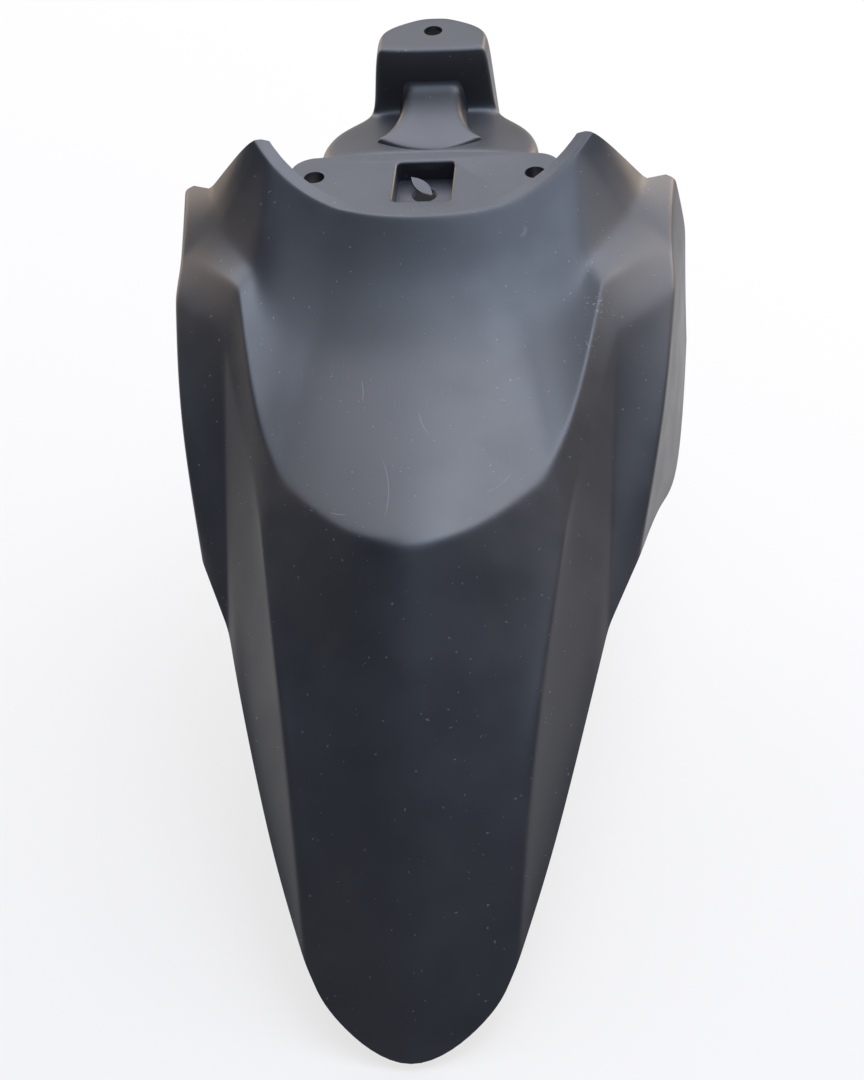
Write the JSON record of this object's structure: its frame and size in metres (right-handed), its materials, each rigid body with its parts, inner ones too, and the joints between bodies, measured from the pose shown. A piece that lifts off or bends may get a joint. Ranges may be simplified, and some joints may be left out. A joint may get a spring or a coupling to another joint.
{
  "type": "motorcycle front fender",
  "caption": "Moulded front fender with a pointed nose, creased top panel, side skirts and a rear bolting bracket; it covers the front wheel of a small motorcycle.",
  "frame": {"origin": "midway between the two ledge bolt holes, on the top face of the bolting ledge", "axes": "+X to the right seen from the front of the fender, -Y forward to the nose, +Z square to the ledge, upwards"},
  "size_m": [0.2578, 0.4693, 0.2848],
  "materials": {
    "fender_plastic": "fine satin, with faint scuffs on the top panel"
  },
  "bodies": {
    "root": {"front_fender": "fender_plastic"}
  },
  "joints": []
}
